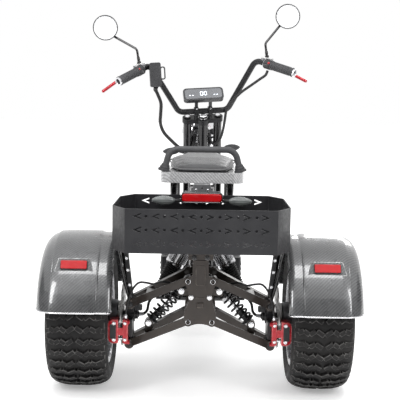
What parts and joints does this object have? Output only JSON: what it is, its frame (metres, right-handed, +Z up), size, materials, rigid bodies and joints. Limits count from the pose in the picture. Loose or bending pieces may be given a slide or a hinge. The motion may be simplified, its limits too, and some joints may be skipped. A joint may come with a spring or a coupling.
{
  "type": "motorized trike",
  "caption": "Electric trike with a raked fork, high U-shaped handlebar, long seat, rear double wishbones, wide fendered rear wheels and a load basket.",
  "frame": {"origin": "middle of the vehicle's bounding box at ground level", "axes": "+Z up, +Y forward, +X to the rider's right"},
  "size_m": [1.034, 1.9309, 1.3601],
  "materials": {
    "frame_bronze": "satin powder coat",
    "gloss_black_metal": "gloss paint",
    "satin_black_metal": "fine satin powder coat",
    "red_metal": "gloss anodised red",
    "grey_metal": "satin",
    "polished_alloy": "brushed, satin",
    "rim_alloy": "machined and satin",
    "disc_steel": "ground",
    "chrome_shell": "polished",
    "carbon_gloss": "clear coat over a grey twill weave",
    "black_plastic": "fine moulded grain",
    "gloss_black_plastic": "glossy",
    "red_lens": "prismatic lens",
    "clear_lens": "smoked clear lens",
    "seat_cover": "fine grained cover",
    "grip_rubber": "ribbed",
    "black_rubber": "smooth",
    "tyre_rubber": "moulded"
  },
  "bodies": {
    "chassis": {"rear_tower": "frame_bronze", "cross_tube": "gloss_black_metal", "main_frame": "gloss_black_metal", "seat_frame": "gloss_black_metal", "battery_box": "satin_black_metal", "floor_deck": "black_plastic", "upper_arms": "frame_bronze", "lower_arms": "frame_bronze", "coilovers": "gloss_black_metal", "coil_springs": "gloss_black_metal", "rear_shocks": "polished_alloy", "knuckle_left": "satin_black_metal", "knuckle_right": "satin_black_metal", "rear_calipers": "red_metal", "rear_fender_left": "carbon_gloss", "rear_fender_right": "carbon_gloss", "fender_reflectors": "red_lens", "basket": "satin_black_metal", "basket_bracket": "frame_bronze", "tail_light": "red_lens", "plate_bracket": "grey_metal", "rear_signals": "clear_lens", "tail_cowl": "carbon_gloss", "grab_rail": "black_rubber", "seat": "seat_cover", "rear_hoses": "black_rubber", "motor_cables": "black_rubber"},
    "rear_wheel_left": {"rear_tyre_left": "tyre_rubber", "rear_rim_left": "rim_alloy", "rear_disc_left": "disc_steel"},
    "rear_wheel_right": {"rear_tyre_right": "tyre_rubber", "rear_rim_right": "rim_alloy", "rear_disc_right": "disc_steel"},
    "steering": {"fork": "satin_black_metal", "fork_clamps": "satin_black_metal", "front_fender": "carbon_gloss", "front_caliper": "red_metal", "headlight": "chrome_shell", "front_signals": "clear_lens", "handlebar": "satin_black_metal", "grips": "grip_rubber", "brake_levers": "red_metal", "hand_controls": "polished_alloy", "mirrors": "gloss_black_metal", "display": "gloss_black_plastic", "handlebar_box": "black_plastic", "loom_left": "black_rubber", "loom_right": "black_rubber"},
    "front_wheel": {"front_tyre": "tyre_rubber", "front_rim": "rim_alloy", "front_disc": "disc_steel"}
  },
  "joints": [
    {"name": "rear_left_spin", "type": "hinge", "parent": "chassis", "child": "rear_wheel_left", "pos_m": [-0.391, -0.626, 0.238], "axis": [1, 0, 0], "continuous": true},
    {"name": "rear_right_spin", "type": "hinge", "parent": "chassis", "child": "rear_wheel_right", "pos_m": [0.391, -0.626, 0.238], "axis": [1, 0, 0], "continuous": true},
    {"name": "steer", "type": "hinge", "parent": "chassis", "child": "steering", "pos_m": [0, 0.37365, 0.873], "axis": [0, -0.4695, 0.8829], "range_deg": [-48, 32]},
    {"name": "front_spin", "type": "hinge", "parent": "steering", "child": "front_wheel", "pos_m": [-0.00223, 0.73086, 0.23493], "axis": [0.9903, 0.1229, 0.0653], "continuous": true}
  ]
}
